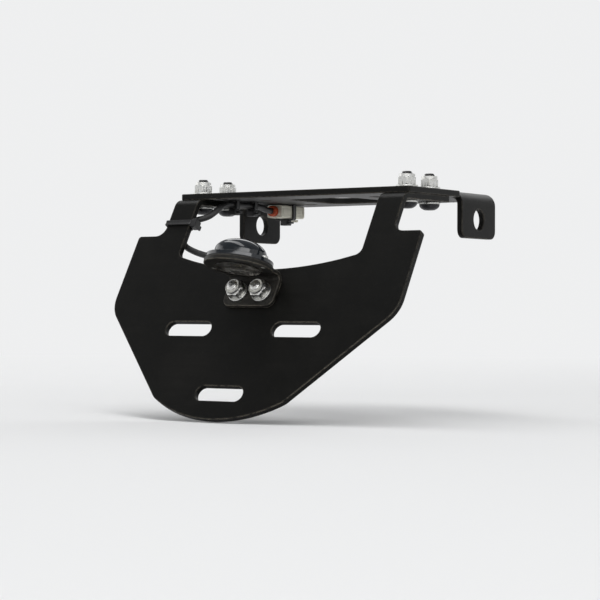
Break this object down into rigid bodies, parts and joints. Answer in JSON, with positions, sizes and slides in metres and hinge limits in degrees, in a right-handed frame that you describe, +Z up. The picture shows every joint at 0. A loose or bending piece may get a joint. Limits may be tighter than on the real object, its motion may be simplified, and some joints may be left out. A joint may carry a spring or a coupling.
{
  "type": "tail tidy",
  "caption": "Black folded steel tail tidy: a leaning, slotted number plate bracket on two arms, a deck with indicator flanges, and a small domed lamp with its lead.",
  "frame": {"origin": "the middle of the deck's four mounting holes, on the deck's top face", "axes": "+Z up, out of the deck's top face; +Y towards the front of the motorbike; +X to the motorbike's right, across the plate"},
  "size_m": [0.16, 0.1462, 0.1134],
  "materials": {
    "powder_coat": "satin black powder coat",
    "black_steel": "black oxide",
    "zinc": "bright zinc plate",
    "nylon": "moulded nylon",
    "gloss_black": "gloss",
    "rubber": "matt",
    "lens": "clear moulded",
    "white_plastic": "gloss white",
    "board": "solder resist",
    "chip": "silicone over ceramic",
    "lead_sheath": "matt sheath",
    "connector": "moulded nylon",
    "brass": "bright",
    "seal": "matt",
    "tie": "moulded nylon"
  },
  "bodies": {
    "root": {"number_plate_bracket": "powder_coat", "main_bracket": "powder_coat", "joint_bolts": "black_steel", "joint_head_washers": "zinc", "joint_nut_washers": "zinc", "joint_nuts": "zinc", "joint_nut_rings": "nylon", "lamp_bracket": "powder_coat", "lamp_bolts": "zinc", "lamp_head_washers": "zinc", "lamp_nut_washers": "zinc", "lamp_nuts": "zinc", "lamp_nut_rings": "nylon", "lamp_housing": "gloss_black", "lamp_gasket": "rubber", "lamp_lens": "lens", "lamp_reflector": "white_plastic", "led_board": "board", "led_chips": "chip", "lamp_screws": "zinc", "lead_gland": "rubber", "lamp_lead": "lead_sheath", "lead_connector": "connector", "connector_pins": "brass", "connector_seal": "seal", "arm_tie": "tie", "deck_ties": "tie"}
  },
  "joints": []
}
